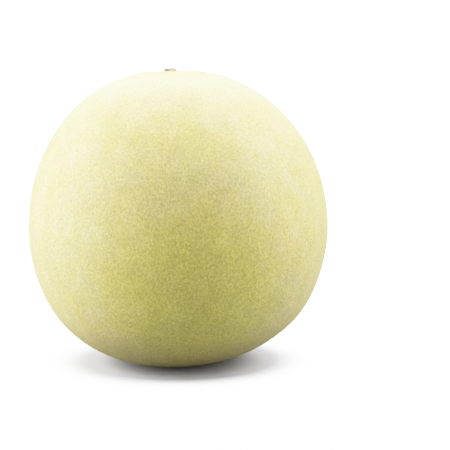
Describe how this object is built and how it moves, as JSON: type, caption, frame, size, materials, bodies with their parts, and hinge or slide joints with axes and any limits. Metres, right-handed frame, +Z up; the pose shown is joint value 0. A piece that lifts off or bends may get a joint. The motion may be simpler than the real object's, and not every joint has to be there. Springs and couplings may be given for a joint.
{
  "type": "honeydew melon",
  "caption": "Whole round honeydew melon with a pale waxy cream and green rind, a small dried stem stub on top and a flattened resting spot below.",
  "frame": {"origin": "under the middle of the fruit's bounding box, on the surface that it rests on", "axes": "+Z up, out of the resting spot and towards the stem end, which leans 2.7 degrees towards -X; -Y is the side that faces the viewer"},
  "size_m": [0.1652, 0.1652, 0.163],
  "materials": {
    "rind": "satin",
    "dried_stem": "matte"
  },
  "bodies": {
    "root": {"melon": "rind", "stem_stub": "dried_stem"}
  },
  "joints": []
}
